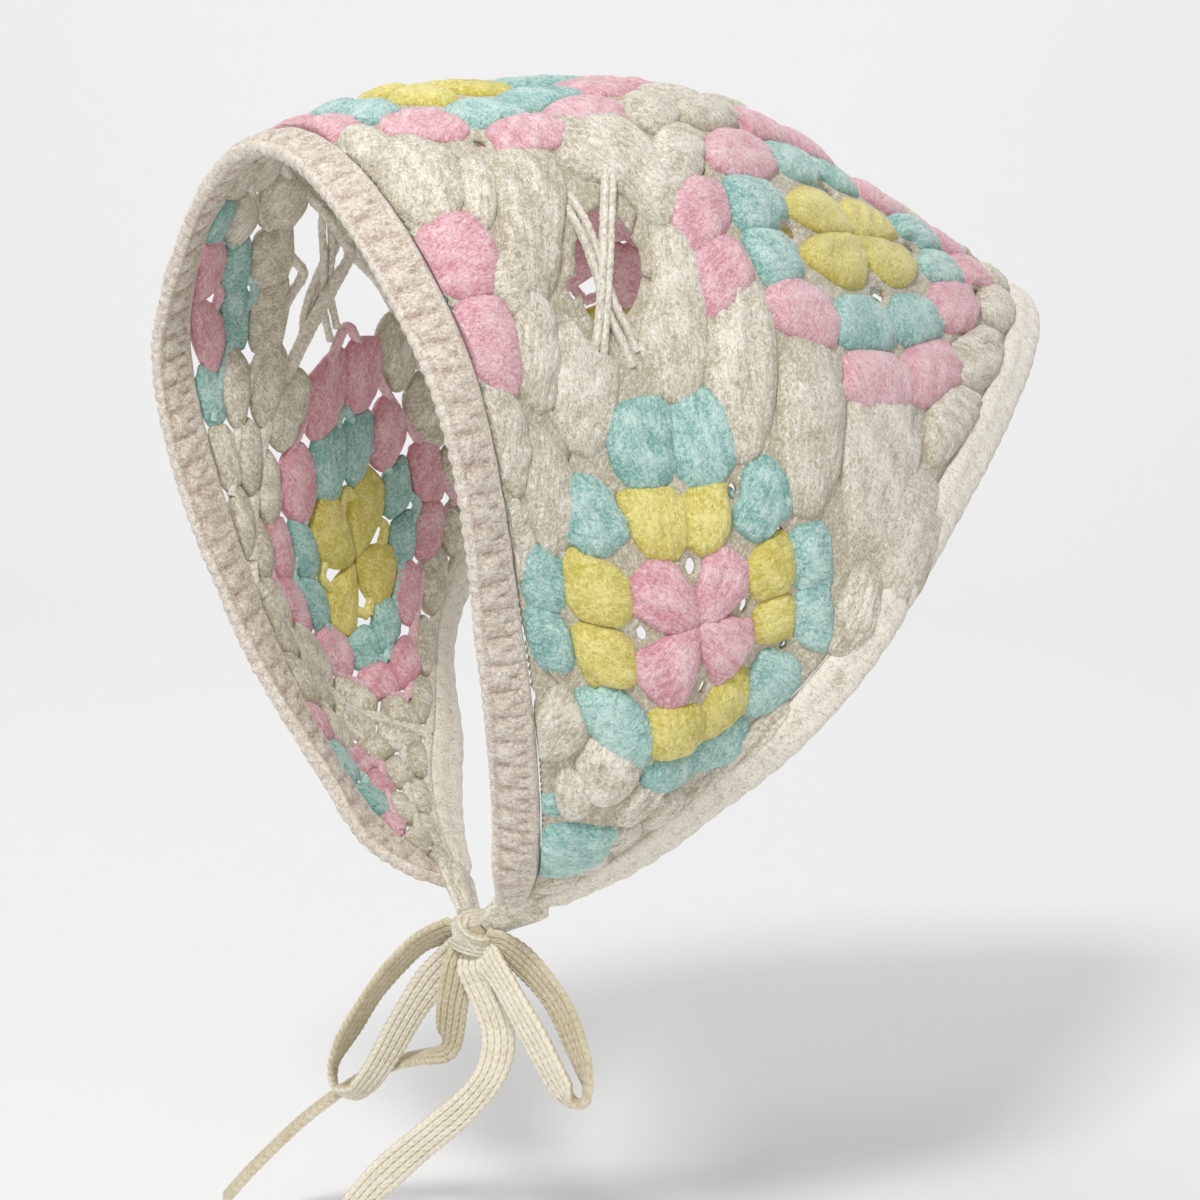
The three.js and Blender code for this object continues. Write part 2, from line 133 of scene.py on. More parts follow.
# The camera stands round to the wearer's left of the face and a little above, in degrees and millimetres. Its aim
# lies beside the target.
CAMERA_AZIMUTH, CAMERA_ELEVATION, CAMERA_DISTANCE = 52, 6.5, 949
AIM_LEFT, AIM_DOWN = 18.73, 19.5
LENS, SENSOR, CLIP_END = 101.6, 36, 20
azimuth, elevation = np.radians(CAMERA_AZIMUTH), np.radians(CAMERA_ELEVATION)
TO_CAMERA = np.array([np.sin(azimuth) * np.cos(elevation), -np.cos(azimuth) * np.cos(elevation),
                      np.sin(elevation)])
RIGHT = np.array([np.cos(azimuth), np.sin(azimuth), 0])
UP = np.cross(TO_CAMERA, RIGHT)
TARGET = np.array([0, 120, -110.0])
EYE = TARGET + CAMERA_DISTANCE * TO_CAMERA
AIM = TARGET - AIM_LEFT * RIGHT - AIM_DOWN * UP


def metres(p):
    return (np.asarray(p, float) - SEAT) / 1000


camera_data = bpy.data.cameras.new("camera")
camera_data.lens = LENS
camera_data.sensor_width = SENSOR
camera_data.clip_end = CLIP_END
camera = bpy.data.objects.new("camera", camera_data)
bpy.context.scene.collection.objects.link(camera)
camera.location = metres(EYE)
camera.rotation_euler = Vector(metres(EYE) - metres(AIM)).to_track_quat("Z", "Y").to_euler()
bpy.context.scene.camera = camera

# Yarn materials. The noise scales are per metre, and the fibres are drawn out along the yarn.
ROUGHNESS, SPECULAR = 0.92, 0.25
SHEEN, SHEEN_ROUGHNESS = 0.35, 0.45
SOFTNESS, SOFT_RADIUS, SOFT_SCALE = 0.12, (0.004, 0.003, 0.002), 0.5
FIBRE_SCALE, CURL_SCALE, CLUMP_SCALE = 1150, 1050, 160
FIBRE_STRETCH = (1.0, 0.4, 1.0)
CURL_TONE, FIBRE_TONE, CLUMP_TONE = 4.2, 3.6, 0.35
BUMP_DEPTH = 0.0009


def wool(name, color, shade, grain=0.5, bump=0.55):
    """Fuzzy yarn between a painted shade colour and a lit colour. The mesh gives the place on the yarn and how
    light it is painted there, which is painted shade with some random lightness.
    """
    mat = bpy.data.materials.new(name)
    mat.use_nodes = True
    nodes, links = mat.node_tree.nodes, mat.node_tree.links
    bsdf = nodes["Principled BSDF"]
    bsdf.inputs["Roughness"].default_value = ROUGHNESS
    bsdf.inputs["Specular IOR Level"].default_value = SPECULAR
    bsdf.inputs["Sheen Weight"].default_value = SHEEN
    bsdf.inputs["Sheen Roughness"].default_value = SHEEN_ROUGHNESS
    bsdf.inputs["Subsurface Weight"].default_value = SOFTNESS
    bsdf.inputs["Subsurface Radius"].default_value = SOFT_RADIUS
    bsdf.inputs["Subsurface Scale"].default_value = SOFT_SCALE
    yarn = nodes.new("ShaderNodeAttribute")
    yarn.attribute_name = "yarn"
    tone_and_painted_shade = nodes.new("ShaderNodeAttribute")
    tone_and_painted_shade.attribute_name = "tone_and_painted_shade"
    where = nodes.new("ShaderNodeTexCoord")

    def noise(vector, scale, twist=0.0):
        node = nodes.new("ShaderNodeTexNoise")
        node.inputs["Scale"].default_value = scale
        node.inputs["Detail"].default_value = 2
        node.inputs["Roughness"].default_value = 0.6
        node.inputs["Distortion"].default_value = twist
        links.new(vector, node.inputs["Vector"])
        return node.outputs["Fac"]

    def math(op, a, b, clamp=False):
        node = nodes.new("ShaderNodeMath")
        node.operation = op
        node.use_clamp = clamp
        for socket, value in zip(node.inputs, (a, b)):
            if isinstance(value, (int, float)):
                socket.default_value = value
            else:
                links.new(value, socket)
        return node.outputs[0]

    stretched_yarn = nodes.new("ShaderNodeMapping")
    stretched_yarn.inputs["Scale"].default_value = FIBRE_STRETCH
    links.new(yarn.outputs["Vector"], stretched_yarn.inputs["Vector"])
    fibres = noise(stretched_yarn.outputs["Vector"], FIBRE_SCALE, 1.5)
    curls = noise(where.outputs["Object"], CURL_SCALE, 1.0)
    clumps = noise(where.outputs["Object"], CLUMP_SCALE)
    # The colour runs from the painted shade colour to the lit colour by the mesh's painted shade, plus fibre grain.
    mix = nodes.new("ShaderNodeMix")
    mix.data_type = "RGBA"
    mix.inputs["A"].default_value = (*shade, 1)
    mix.inputs["B"].default_value = (*color, 1)
    spread = math("MULTIPLY", math("SUBTRACT", curls, 0.5), CURL_TONE * grain)
    streak = math("MULTIPLY", math("SUBTRACT", fibres, 0.5), FIBRE_TONE * grain)
    soft = math("MULTIPLY", math("SUBTRACT", clumps, 0.5), CLUMP_TONE)
    factor = math("ADD", math("ADD", tone_and_painted_shade.outputs["Fac"], spread), math("ADD", streak, soft), True)
    links.new(factor, mix.inputs["Factor"])
    links.new(mix.outputs["Result"], bsdf.inputs["Base Color"])
    bumps = nodes.new("ShaderNodeBump")
    bumps.inputs["Strength"].default_value = bump
    bumps.inputs["Distance"].default_value = BUMP_DEPTH
    links.new(math("ADD", math("MULTIPLY", fibres, 0.7), curls), bumps.inputs["Height"])
    links.new(bumps.outputs["Normal"], bsdf.inputs["Normal"])
    return mat


def srgb(r, g, b):
    """Linear color of one given in 8 bits a channel."""
    c = np.array([r, g, b]) / 255
    return tuple(np.where(c <= 0.04045, c / 12.92, ((c + 0.055) / 1.055) ** 2.4))


# Each yarn is a lit colour and a painted shade colour, the second darker for where shade falls. The band's
# pink-brown shade colour is painted into the dips between its beads.
YARN = {
    "cream": wool("yarn_cream", srgb(246, 240, 227), srgb(181, 171, 147)),
    "pink": wool("yarn_pink", srgb(242, 208, 212), srgb(206, 140, 152)),
    "aqua": wool("yarn_aqua", srgb(202, 228, 221), srgb(116, 168, 160)),
    "yellow": wool("yarn_yellow", srgb(240, 229, 152), srgb(196, 180, 80)),
    "tie": wool("yarn_tie", srgb(244, 238, 220), srgb(176, 158, 116), grain=0.16, bump=0.3),
    "band": wool("yarn_band", srgb(238, 231, 218), srgb(182, 160, 144)),
}
YARN_NAMES = list(YARN)


class Build:
    """Collects parts of one piece: vertices in millimetres, quads, yarn per quad, yarn place, and painted shade
    with random lightness.
    """

    def __init__(self):
        self.vertices, self.quads, self.yarns, self.places, self.tones_and_painted_shades = [], [], [], [], []
        self.count = 0

    def add(self, vertices, quads, yarn, places, tones_and_painted_shades):
        self.vertices.append(vertices.reshape(-1, 3))
        self.quads.append(quads.reshape(-1, 4) + self.count)
        self.yarns.append(np.full(quads.size // 4, YARN_NAMES.index(yarn), np.int32))
        self.places.append(places.reshape(-1, 3))
        self.tones_and_painted_shades.append(tones_and_painted_shades.reshape(-1))
        self.count += vertices.size // 3

    def piece(self, name, slot, *nodes):
        vertices = metres(np.concatenate(self.vertices))
        quads = np.concatenate(self.quads).astype(np.int32)
        yarns = np.concatenate(self.yarns)
        used = sorted(set(yarns.tolist()))
        name = "knit_" + name
        mesh = bpy.data.meshes.new(name)
        mesh.vertices.add(len(vertices))
        mesh.vertices.foreach_set("co", vertices.astype(np.float32).ravel())
        mesh.loops.add(quads.size)
        mesh.loops.foreach_set("vertex_index", quads.ravel())
        mesh.polygons.add(len(quads))
        mesh.polygons.foreach_set("loop_start", np.arange(0, quads.size, 4, dtype=np.int32))
        for index in used:
            mesh.materials.append(YARN[YARN_NAMES[index]])
        mesh.polygons.foreach_set("material_index", np.searchsorted(used, yarns).astype(np.int32))
        mesh.polygons.foreach_set("use_smooth", np.ones(len(quads), bool))
        mesh.attributes.new("yarn", "FLOAT_VECTOR", "POINT").data.foreach_set(
            "vector", (np.concatenate(self.places) / 1000).astype(np.float32).ravel())
        mesh.attributes.new("tone_and_painted_shade", "FLOAT", "POINT").data.foreach_set(
            "value", np.concatenate(self.tones_and_painted_shades).astype(np.float32))
        mesh.update(calc_edges=True)
        mesh.validate()
        piece = bpy.data.objects.new(name, mesh)
        bpy.context.scene.collection.objects.link(piece)
        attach(piece, "root")
        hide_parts(*nodes)
        return piece


def grid_quads(n, m, wrap=False):
    """Quads of an n by m grid of vertices, closed round the second way if wrap."""
    i, j = np.meshgrid(np.arange(n - 1), np.arange(m if wrap else m - 1), indexing="ij")
    k = (j + 1) % m
    return np.stack([i * m + j, i * m + k, (i + 1) * m + k, (i + 1) * m + j], -1).reshape(-1, 4)


LUMP_WAVES = 5


def lumps(rng, size, points, amount):
    """Soft irregular relief. Size is that of its lumps, in millimetres."""
    waves = rng.normal(size=(LUMP_WAVES, 3)) / size * 2.2
    phases = rng.uniform(0, 2 * np.pi, LUMP_WAVES)
    return amount * np.sin(points @ waves.T + phases).mean(-1) * 1.6


def cap(build, ring, shares, yarn, along, tone_and_painted_shade, flip):
    """Closes an end from its ring of vertices to the middle, in rings that are shares of it."""
    n, m = len(shares), len(ring)
    centre = ring.mean(0)
    quads = grid_quads(n, m, True)
    place = np.zeros((n, m, 3))
    place[..., 1] = along
    build.add(np.stack([ring * share + centre * (1 - share) for share in shares]),
              quads[:, ::-1] if flip else quads, yarn, place, np.full((n, m), tone_and_painted_shade))


# Cords first: the bow's loops and the tails. Routes are in millimetres from the knot's centre.

BOW_ROUTES = {
    "bow_loop_right": [
        [-8, -0.5, -1], [-14, -2.7, -2.6], [-20.1, -5.4, -6.2], [-26.9, -8.4, -13.2],
        [-33.1, -11.3, -21.2], [-38.6, -13.5, -29.5], [-43.2, -15.7, -37.9], [-46.7, -16.7, -45.4],
        [-46.2, -16.2, -50.9], [-41.2, -13.7, -51.9], [-37.2, -10.7, -47.4], [-33.1, -8, -40],
        [-29.1, -5.8, -32.2], [-25, -3.6, -24.8], [-20.1, -1.6, -17.8], [-14.2, 0, -11.2],
        [-6.8, 0.3, -4.7],
    ],
    "bow_loop_left": [
        [6.5, -0.5, -5], [12, -1, -8.5], [16.3, -1.2, -11.5], [20, -1, -15.2], [23, 0, -19.5],
        [26, 1.5, -24.5], [29, 3, -30], [31.5, 4.5, -35], [34.5, 6, -39], [38.5, 7.5, -40],
        [40, 8.3, -36], [38.5, 8, -30], [35.5, 7.5, -24], [32, 7, -18.2], [28, 6, -13],
        [22.3, 4.5, -8], [15.5, 3, -3.8], [8, 1, -1],
    ],
    "tie_tail_right": [
        [-2.2, -2, -6.3], [-4.6, -3, -13.5], [-7.2, -2.8, -20.5], [-10, -1.6, -27.5],
        [-13.6, 0.2, -34], [-20.5, 1.6, -38.2], [-29, 1.4, -41.3], [-37.4, 0, -44.2],
        [-44.8, -3, -48], [-51.8, -7.4, -52.8], [-57.6, -12.8, -58.6], [-62.4, -18.8, -65],
        [-66.6, -24.8, -72], [-70.2, -30.8, -79], [-74, -37, -87],
    ],
    "tie_tail_left": [
        [2.2, -2, -6.2], [3.6, -1, -13], [5.8, 0.8, -19.5], [7.4, 2, -25.5], [8, 1.6, -31.5],
        [7.4, -0.2, -37.5], [5.2, -3.2, -43], [1.8, -7, -48.5], [-2, -11.2, -53.5],
        [-5.8, -15.6, -58.5], [-9.4, -20, -63.5], [-13, -24.4, -69], [-16.2, -28.6, -75],
        [-19.2, -32.6, -81.5], [-22, -36.4, -88],
    ],
}


def knot_reach(direction):
    """How far the knot's surface is from its centre."""
    return np.linalg.norm(KNOT_SIZE / 2 * direction) + SEAM_GAP


def leaving_knot(direction, inside=None):
    """The straight start of a cord, from the knot's surface or from a depth inside it."""
    d = unit(np.asarray(direction, float))
    start = [d * (knot_reach(d) - inside)] if inside else []
    return start + [d * knot_reach(d), d * (knot_reach(d) + TIE_THICKNESS)]


def smooth_curve(points, per):
    """Centripetal Catmull-Rom curve through points, as in the part's source."""
    p = np.array(points, float)
    p = np.vstack([2 * p[0] - p[1], p, 2 * p[-1] - p[-2]])
    out = []
    for k in range(1, len(p) - 2):
        d = [max(np.linalg.norm(p[k + e + 1] - p[k + e]) ** 0.5, 1e-4) for e in (-1, 0, 1)]
        p0, p1, p2, p3 = p[k - 1:k + 3]
        t1 = ((p1 - p0) / d[0] - (p2 - p0) / (d[0] + d[1]) + (p2 - p1) / d[1]) * d[1]
        t2 = ((p2 - p1) / d[1] - (p3 - p1) / (d[1] + d[2]) + (p3 - p2) / d[2]) * d[1]
        s = np.arange(per) / per
        out.append(hermite(p1, p2, t1, t2, s, 1.0))
    return np.vstack(out + [p[-2][None]])


def even(points, step):
    """Points an even step apart along a curve, and their arc lengths."""
    length = np.concatenate([[0], np.cumsum(np.linalg.norm(np.diff(points, axis=0), axis=1))])
    n = max(int(round(length[-1] / step)), 2)
    s = np.linspace(0, length[-1], n + 1)
    return np.stack([np.interp(s, length, points[:, k]) for k in range(3)], -1), s


def carried_frames(points):
    """Two cross directions, carried along without twist from the axis least along the start."""
    tangent = unit(np.gradient(points, axis=0))
    axis = np.eye(3)[np.argmin(np.abs(tangent[0]) - np.array([0, 1, 2]) * 1e-9)]
    wide = [unit(np.cross(tangent[0], np.cross(tangent[0], axis)))]
    for k in range(1, len(points)):
        wide.append(unit(wide[-1] - tangent[k] * (wide[-1] @ tangent[k])))
    wide = np.array(wide)
    return wide, np.cross(tangent, wide)


# The sign of the face that lies inside and is painted darker, as painted shade, and how far each cord is rolled
# about
# its own line: shares of its length, and degrees from lying broad to TO_CAMERA.
ROLLS = {
    "bow_loop_right": (-1, [(0, -35), (0.1, -50), (0.38, -58), (0.5, -95), (0.6, -150), (0.9, -172), (1, -150)]),
    "bow_loop_left": (1, [(0, 20), (0.1, 35), (0.42, 42), (0.5, 90), (0.6, 135), (0.9, 150), (1, 130)]),
    "tie_tail_right": (-1, [(0, 0), (0.16, 8), (0.26, 50), (0.34, 82), (1, 80)]),
    "tie_tail_left": (1, [(0, 30), (0.15, 10), (0.5, -12), (1, 0)]),
}
TIE_RIBS, STITCH = 5, 2.3
TIE_STEP, TIE_END, TIE_FACES = 0.5, 1.6, 31
ROLL_EVENED = 17
CORD_SUNK, ROUTE_STEPS, CORD_PATH_STEP = 2.2, 10, 3.0


def knitted(x, s):
    """Relief of ribs of V stitches over a place across the tape, from -1 to 1, and along it."""
    local = ((x + 1) * TIE_RIBS / 2) % 1 * 2 - 1
    leg = np.abs(np.sin(np.pi * (s / STITCH + 0.5 * np.abs(local))))
    return 0.12 - 0.5 * np.abs(local) ** 4 - 0.14 * np.exp(-(local / 0.2) ** 2) + 0.3 * (leg ** 0.7 - 0.7)


def tape_section(half):
    """Places round a flat tape: across it from -1 to 1, and out of its middle."""
    x = np.linspace(1, -1, half)
    x = np.concatenate([x, -x[1:-1]])
    y = np.sqrt(1 - np.abs(x) ** 6)
    y[half:] *= -1
    return x, y


def tie(build, points, rng, shaded_side, rolls):
    """A flat knitted cord, rolled about its line."""
    pts, s = even(points, TIE_STEP)
    tangent = unit(np.gradient(pts, axis=0))
    broad = unit(np.cross(tangent, TO_CAMERA))
    roll = np.interp(s / s[-1], *np.array(rolls, float).T)
    kernel = np.ones(ROLL_EVENED) / ROLL_EVENED
    roll = np.radians(np.convolve(np.pad(roll, ROLL_EVENED // 2, mode="edge"), kernel, "valid"))[:, None]
    wide = broad * np.cos(roll) + np.cross(tangent, broad) * np.sin(roll)
    flat = np.cross(tangent, wide)
    x, y = tape_section(TIE_FACES)
    n, m = len(pts), len(x)
    end = np.minimum(s, s[-1] - s)
    close = np.sqrt(np.clip(1 - (1 - np.clip(end / TIE_END, 0, 1)) ** 2, 0.0004, 1))[:, None]
    grid_s, grid_x = np.meshgrid(s, x, indexing="ij")
    relief = knitted(grid_x, grid_s)
    wander = (0.25 * np.sin(s / 9 + rng.uniform(0, 6)) + 0.15 * np.sin(s / 3.7))[:, None]
    scallop = 1 + 0.035 * np.sin(2 * np.pi * grid_s / STITCH) * np.abs(x)
    half_w = (TIE_WIDTH / 2 - 0.15 + wander) * close * scallop
    half_t = (TIE_THICKNESS / 2 - 0.25 + relief * np.abs(y)) * close
    v = pts[:, None] + wide[:, None] * (half_w * x)[..., None] + flat[:, None] * (half_t * y)[..., None]
    place = np.stack([grid_x * TIE_WIDTH / 2, grid_s, np.full_like(grid_s, rng.uniform(0, 500))], -1)
    # Painted shade: darker in the grooves of the knitting, and darker again on the face that lies inside.
    tone_and_painted_shade = 0.78 + 0.9 * relief - 0.42 * (y * shaded_side > 0.3)
    build.add(v, grid_quads(n, m, True), "tie", place, tone_and_painted_shade)
    for k in (0, n - 1):
        cap(build, v[k], (1, 0.5, 0), "tie", s[k], 0.45, k == 0)


rng = np.random.default_rng(11)
for name, route in BOW_ROUTES.items():
    is_loop = name.startswith("bow_loop")
    middle = [np.array(p, float) for p in (route[1:-1] if is_loop else route[1:])]
    ends = [(leaving_knot(route[0], inside), leaving_knot(route[-1], inside)[::-1] if is_loop else [])
            for inside in (None, CORD_SUNK)]
    path, drawn = (smooth_curve(first + middle + last, ROUTE_STEPS) + KNOT for first, last in ends)
    build = Build()
    tie(build, drawn, rng, *ROLLS[name])
    piece = build.piece(name, "tie_yarn", name)
    sampled, s = even(path, CORD_PATH_STEP)
    tuple(metres(path[0]))
    [tuple(metres(p)) for p in sampled]

# Squares. Places are in half sides of a square from its centre, along p and q. Petals fill the middle, pairs lie
# in the corners side by side along the diagonal, and singles lie between the pairs. Each is given by its near and
# far end and its half width at both, and a pair's last value says how much its outer side falls back.

LAYOUTS = {
    "full": dict(petal=(0.02, 0.34, 0.08, 0.19),
                 pairs={2: (0.37, 0.66, 0.25, 0.31, 0.05), 3: (0.68, 1.0, 0.29, 0.36, 0.11),
                        4: (1.03, 1.34, 0.21, 0.36, 0.26)},
                 singles={3: (0.47, 0.77, 0.17, 0.21), 4: (0.76, 1.01, 0.2, 0.22)}),
    "wide": dict(petal=(0.02, 0.46, 0.09, 0.24),
                 pairs={2: (0.42, 0.8, 0.3, 0.36, 0.02), 3: (0.82, 1.18, 0.36, 0.4, 0.05)},
                 singles={3: (0.62, 1.03, 0.19, 0.26)}),
}
EVEN = [-1, -0.5, 0, 0.5, 1]
PETAL_LONGER, PETAL_BROADER = 0.1, 0.03
LAST_ROUND, LAST_SINGLES = 4, (-0.24, 0.24)
TALL_MORE, BROAD_TIMES = 0.14, 1.22
CHART = [
    # A worn square is out of square: p and q say where the even places of each axis lie, and lean pulls an axis
    # along the other. Skip names the sides without a last round, and loose the corners without its pair. The pair
    # of the tall corner is longer in the third round, and the pairs of the broad corner are broader. Hole is the
    # width of the chain spaces. A half lies beyond the diagonal, and right is the wearer's right.
    dict(name="square_crown", corner=(0, 0), rounds=["yellow", "aqua", "pink", "cream"], hole=0.04,
         p=[-1.18, -0.66, -0.12, 0.42, 1], q=[-1.18, -0.66, -0.12, 0.42, 1], lean=(0.3, 0.3),
         skip=[2, 3], loose=[(1, -1), (-1, 1)]),
    dict(name="square_side_left", corner=(1, -1), rounds=["pink", "yellow", "aqua"], layout="wide", hole=0.035,
         p=[-0.97, -0.5, -0.08, 0.46, 0.94], q=[-0.98, -0.54, -0.03, 0.34, 0.7], lean=(0.27, 0.02),
         tall=(-1, 1), broad=(1, -1)),
    dict(name="square_side_right", corner=(1, -1), right=True, rounds=["yellow", "aqua", "pink", "cream"],
         loose=[(-1, 1)], hole=0.03),
    dict(name="square_back_left", corner=(1, 0), rounds=["yellow", "aqua", "pink", "cream"], hole=0.045,
         p=[-1.02, -0.52, -0.04, 0.5, 1], q=[-1, -0.42, 0.08, 0.54, 1], lean=(0, 0.33),
         skip=[3], loose=[(-1, -1)]),
    dict(name="square_back_right", corner=(1, 0), right=True, rounds=["pink", "yellow", "aqua", "cream"],
         loose=[(-1, -1)], hole=0.03),
    dict(name="half_temple_left", corner=(0, -1), half=True, rounds=[], hole=0.045),
    dict(name="half_temple_right", corner=(0, -1), half=True, right=True,
         rounds=["pink", "aqua", "cream", "cream"], loose=[(1, 1)], hole=0.03),
    dict(name="half_chin_left", corner=(1, -2), half=True, rounds=[], hole=0.04),
    dict(name="half_chin_right", corner=(1, -2), half=True, right=True,
         rounds=["aqua", "pink", "cream", "cream"], hole=0.03),
]

# Clusters that lie out of the rounds: yarn, centre, width, length and the length's heading in degrees from p.
FREE = {
    "half_temple_left": [
        ("pink", -0.04, 0.37, 0.44, 0.5, 58), ("pink", 0.24, 0.05, 0.44, 0.5, 40),
        ("cream", -0.3, 0.74, 0.46, 0.6, 84), ("cream", 0.36, 0.88, 0.5, 0.72, 102),
        ("cream", 0.02, 0.84, 0.26, 0.4, 95), ("cream", 0.56, 0.31, 0.44, 0.48, 100),
        ("cream", 0.94, 0.42, 0.48, 0.55, 102), ("cream", 0.5, -0.26, 0.46, 0.44, 100),
        ("cream", 0.9, -0.2, 0.46, 0.5, 98), ("cream", 0.76, -0.62, 0.36, 0.44, 60),
        ("cream", 0.28, 0.46, 0.3, 0.36, 50), ("cream", -0.6, 0.86, 0.3, 0.34, 80),
    ],
    "half_chin_left": [
        ("aqua", 0.36, 0.08, 0.8, 0.8, 20),
        ("aqua", -0.2, 0.33, 0.2, 0.22, 50), ("aqua", 0.14, -0.06, 0.18, 0.2, 50),
        ("cream", -0.5, 0.78, 0.36, 0.52, 80), ("cream", -0.08, 0.86, 0.42, 0.5, 100),
        ("cream", 0.36, 0.8, 0.42, 0.46, 90), ("cream", 0.8, 0.86, 0.4, 0.42, 85),
        ("cream", -0.12, 0.52, 0.32, 0.36, 130), ("cream", 0.66, 0.44, 0.4, 0.44, 60),
        ("cream", 0.8, 0.0, 0.34, 0.44, 40), ("cream", 0.8, -0.42, 0.34, 0.44, 60),
    ],
    "square_back_left": [
        ("cream", -0.7, -1.06, 0.44, 0.64, 122), ("cream", -0.26, -1.02, 0.46, 0.68, 114),
        ("cream", 0.24, -0.98, 0.5, 0.7, 116), ("cream", 0.68, -0.74, 0.5, 0.7, 110),
        ("cream", 1.0, -0.86, 0.36, 0.6, 106),
    ],
    "square_crown": [
        ("cream", 0.8, -0.62, 0.46, 0.76, 170),
        ("cream", -0.82, 0.72, 0.36, 0.5, -60), ("cream", -0.72, 1.0, 0.38, 0.48, -57),
    ],
    "square_side_left": [
        ("cream", 0.98, 0.62, 0.22, 0.5, 100), ("cream", 1.0, -0.34, 0.18, 0.6, 90),
        ("cream", 1.0, -0.84, 0.2, 0.4, 90),
    ],
}

# Fineness of a cluster's mesh, finer on the left, and how far it stands out of the hood and into it.
COARSE, FINE = (23, 15), (33, 21)
PUFF_TOP, PUFF_UNDER = 3.2, 2.4
GROW_RIGHT, GROW_LEFT = 1.07, 1.12
FULL_PUFF_CREAM, FULL_PUFF = 10, 12
GROOVE_CREAM, GROOVE = 0.45, 0.36
PLY_WIDTH = 2.6


def stretched(row, p, q):
    """Grid place of a place in a square."""
    lean_p, lean_q = row.get("lean", (0, 0))
    p2 = np.interp(p, EVEN, row.get("p", EVEN)) + (p - np.clip(p, -1, 1)) + lean_p * q * (1 - p) / 1.5
    q2 = np.interp(q, EVEN, row.get("q", EVEN)) + (q - np.clip(q, -1, 1)) + lean_q * p * (1 - q) / 1.5
    return row["corner"][0] + (p2 + 1) / 2, row["corner"][1] + (q2 + 1) / 2


def on_hood(row, a, b):
    """Point and outer normal at a grid place, on the square's own side."""
    point, normal = hood(a, b)
    if row.get("right"):
        point, normal = point * [-1, 1, 1], normal * [-1, 1, 1]
    return point, normal


def puff(build, row, corners, yarn, rng, corner_power=3, charted=True):
    """One crocheted cluster. Its corners are places (p, q), two at the base and two at the top."""
    n, m = COARSE if row.get("right") else FINE
    gu, gv = np.meshgrid(*(np.sin(np.pi / 2 * np.linspace(-1, 1, k)) for k in (n, m)), indexing="ij")
    wobble = rng.normal(size=4) * 0.008
    grow = GROW_RIGHT if row.get("right") else GROW_LEFT
    # The outline is a superellipse: a power of 2 gives an oval, a high one a square.
    reach = (np.abs(gu) ** corner_power + np.abs(gv) ** corner_power) ** (1 / corner_power)
    inset = np.maximum(np.abs(gu), np.abs(gv)) / np.maximum(reach, 1e-9)
    u, v = grow * gu * inset, grow * gv * inset
    x, y = (u + 1) / 2, (v + 1) / 2
    (b0, b1), (t0, t1) = np.array(corners[:2], float), np.array(corners[2:], float)
    p, q = ((b0[k] * (1 - x) + b1[k] * x) * (1 - y) + (t0[k] * (1 - x) + t1[k] * x) * y for k in (0, 1))
    p, q = p + wobble[0] + wobble[1] * u, q + wobble[2] + wobble[3] * v
    plain = dict(row, p=EVEN, q=EVEN, lean=(0, 0))
    a, b = spread_round(openings(row), *stretched(row if charted else plain, p, q))
    point, normal = on_hood(row, a, b)
    across = np.linalg.norm(point[-1, m // 2] - point[0, m // 2])
    tall = np.linalg.norm(point[n // 2, -1] - point[n // 2, 0])
    full = FULL_PUFF_CREAM if yarn == "cream" else FULL_PUFF
    thick = rng.uniform(0.94, 1.12) * np.clip(min(across, tall) / full, 0.4, 1.2)
    profile = np.sqrt(np.clip((1 - np.abs(gu) ** 2.7) * (1 - np.abs(gv) ** 2.7), 0, 1)) ** 0.85
    strands = max(round(across / PLY_WIDTH), 3)
    twist = gu + 0.05 * np.sin(4 * gv + rng.uniform(0, 6)) + 0.12 * rng.normal() * gv
    ridge = np.abs(np.cos(np.pi * strands * twist / 2 + rng.uniform(0, 3)))
    place = np.stack([u * across / 2, v * tall / 2, np.full_like(p, rng.uniform(0, 900))], -1)
    groove = GROOVE_CREAM if yarn == "cream" else GROOVE
    relief = groove * (ridge ** 0.7 - 1) * profile + lumps(rng, 4.0, point, 0.4) * profile
    upper = point + normal * (PUFF_TOP * thick * profile + relief - 0.2)[..., None]
    lower = point - normal * (PUFF_UNDER * thick * profile - relief * 0.7 + 0.2)[..., None]
    # Painted shade: darker toward the cluster's edges, in the grooves between its strands and on its underside,
    # with a random lightness per cluster.
    shade = 0.66 + rng.normal() * 0.05 + 0.7 * relief - 0.7 * (1 - profile ** 0.6)
    quads = grid_quads(n, m)
    if row.get("right"):
        quads = quads[:, ::-1]
    both = np.concatenate([upper.reshape(-1, 3), lower.reshape(-1, 3)])
    build.add(both, np.concatenate([quads, quads[:, ::-1] + n * m]), yarn,
              np.concatenate([place.reshape(-1, 3)] * 2), np.concatenate([shade.ravel(), shade.ravel() - 0.1]))


def turned(corners, heading):
    """Corners given along and across a heading in degrees, as places (p, q)."""
    c, s = np.cos(np.radians(heading)), np.sin(np.radians(heading))
    return [(out * c - across * s, out * s + across * c) for out, across in corners]


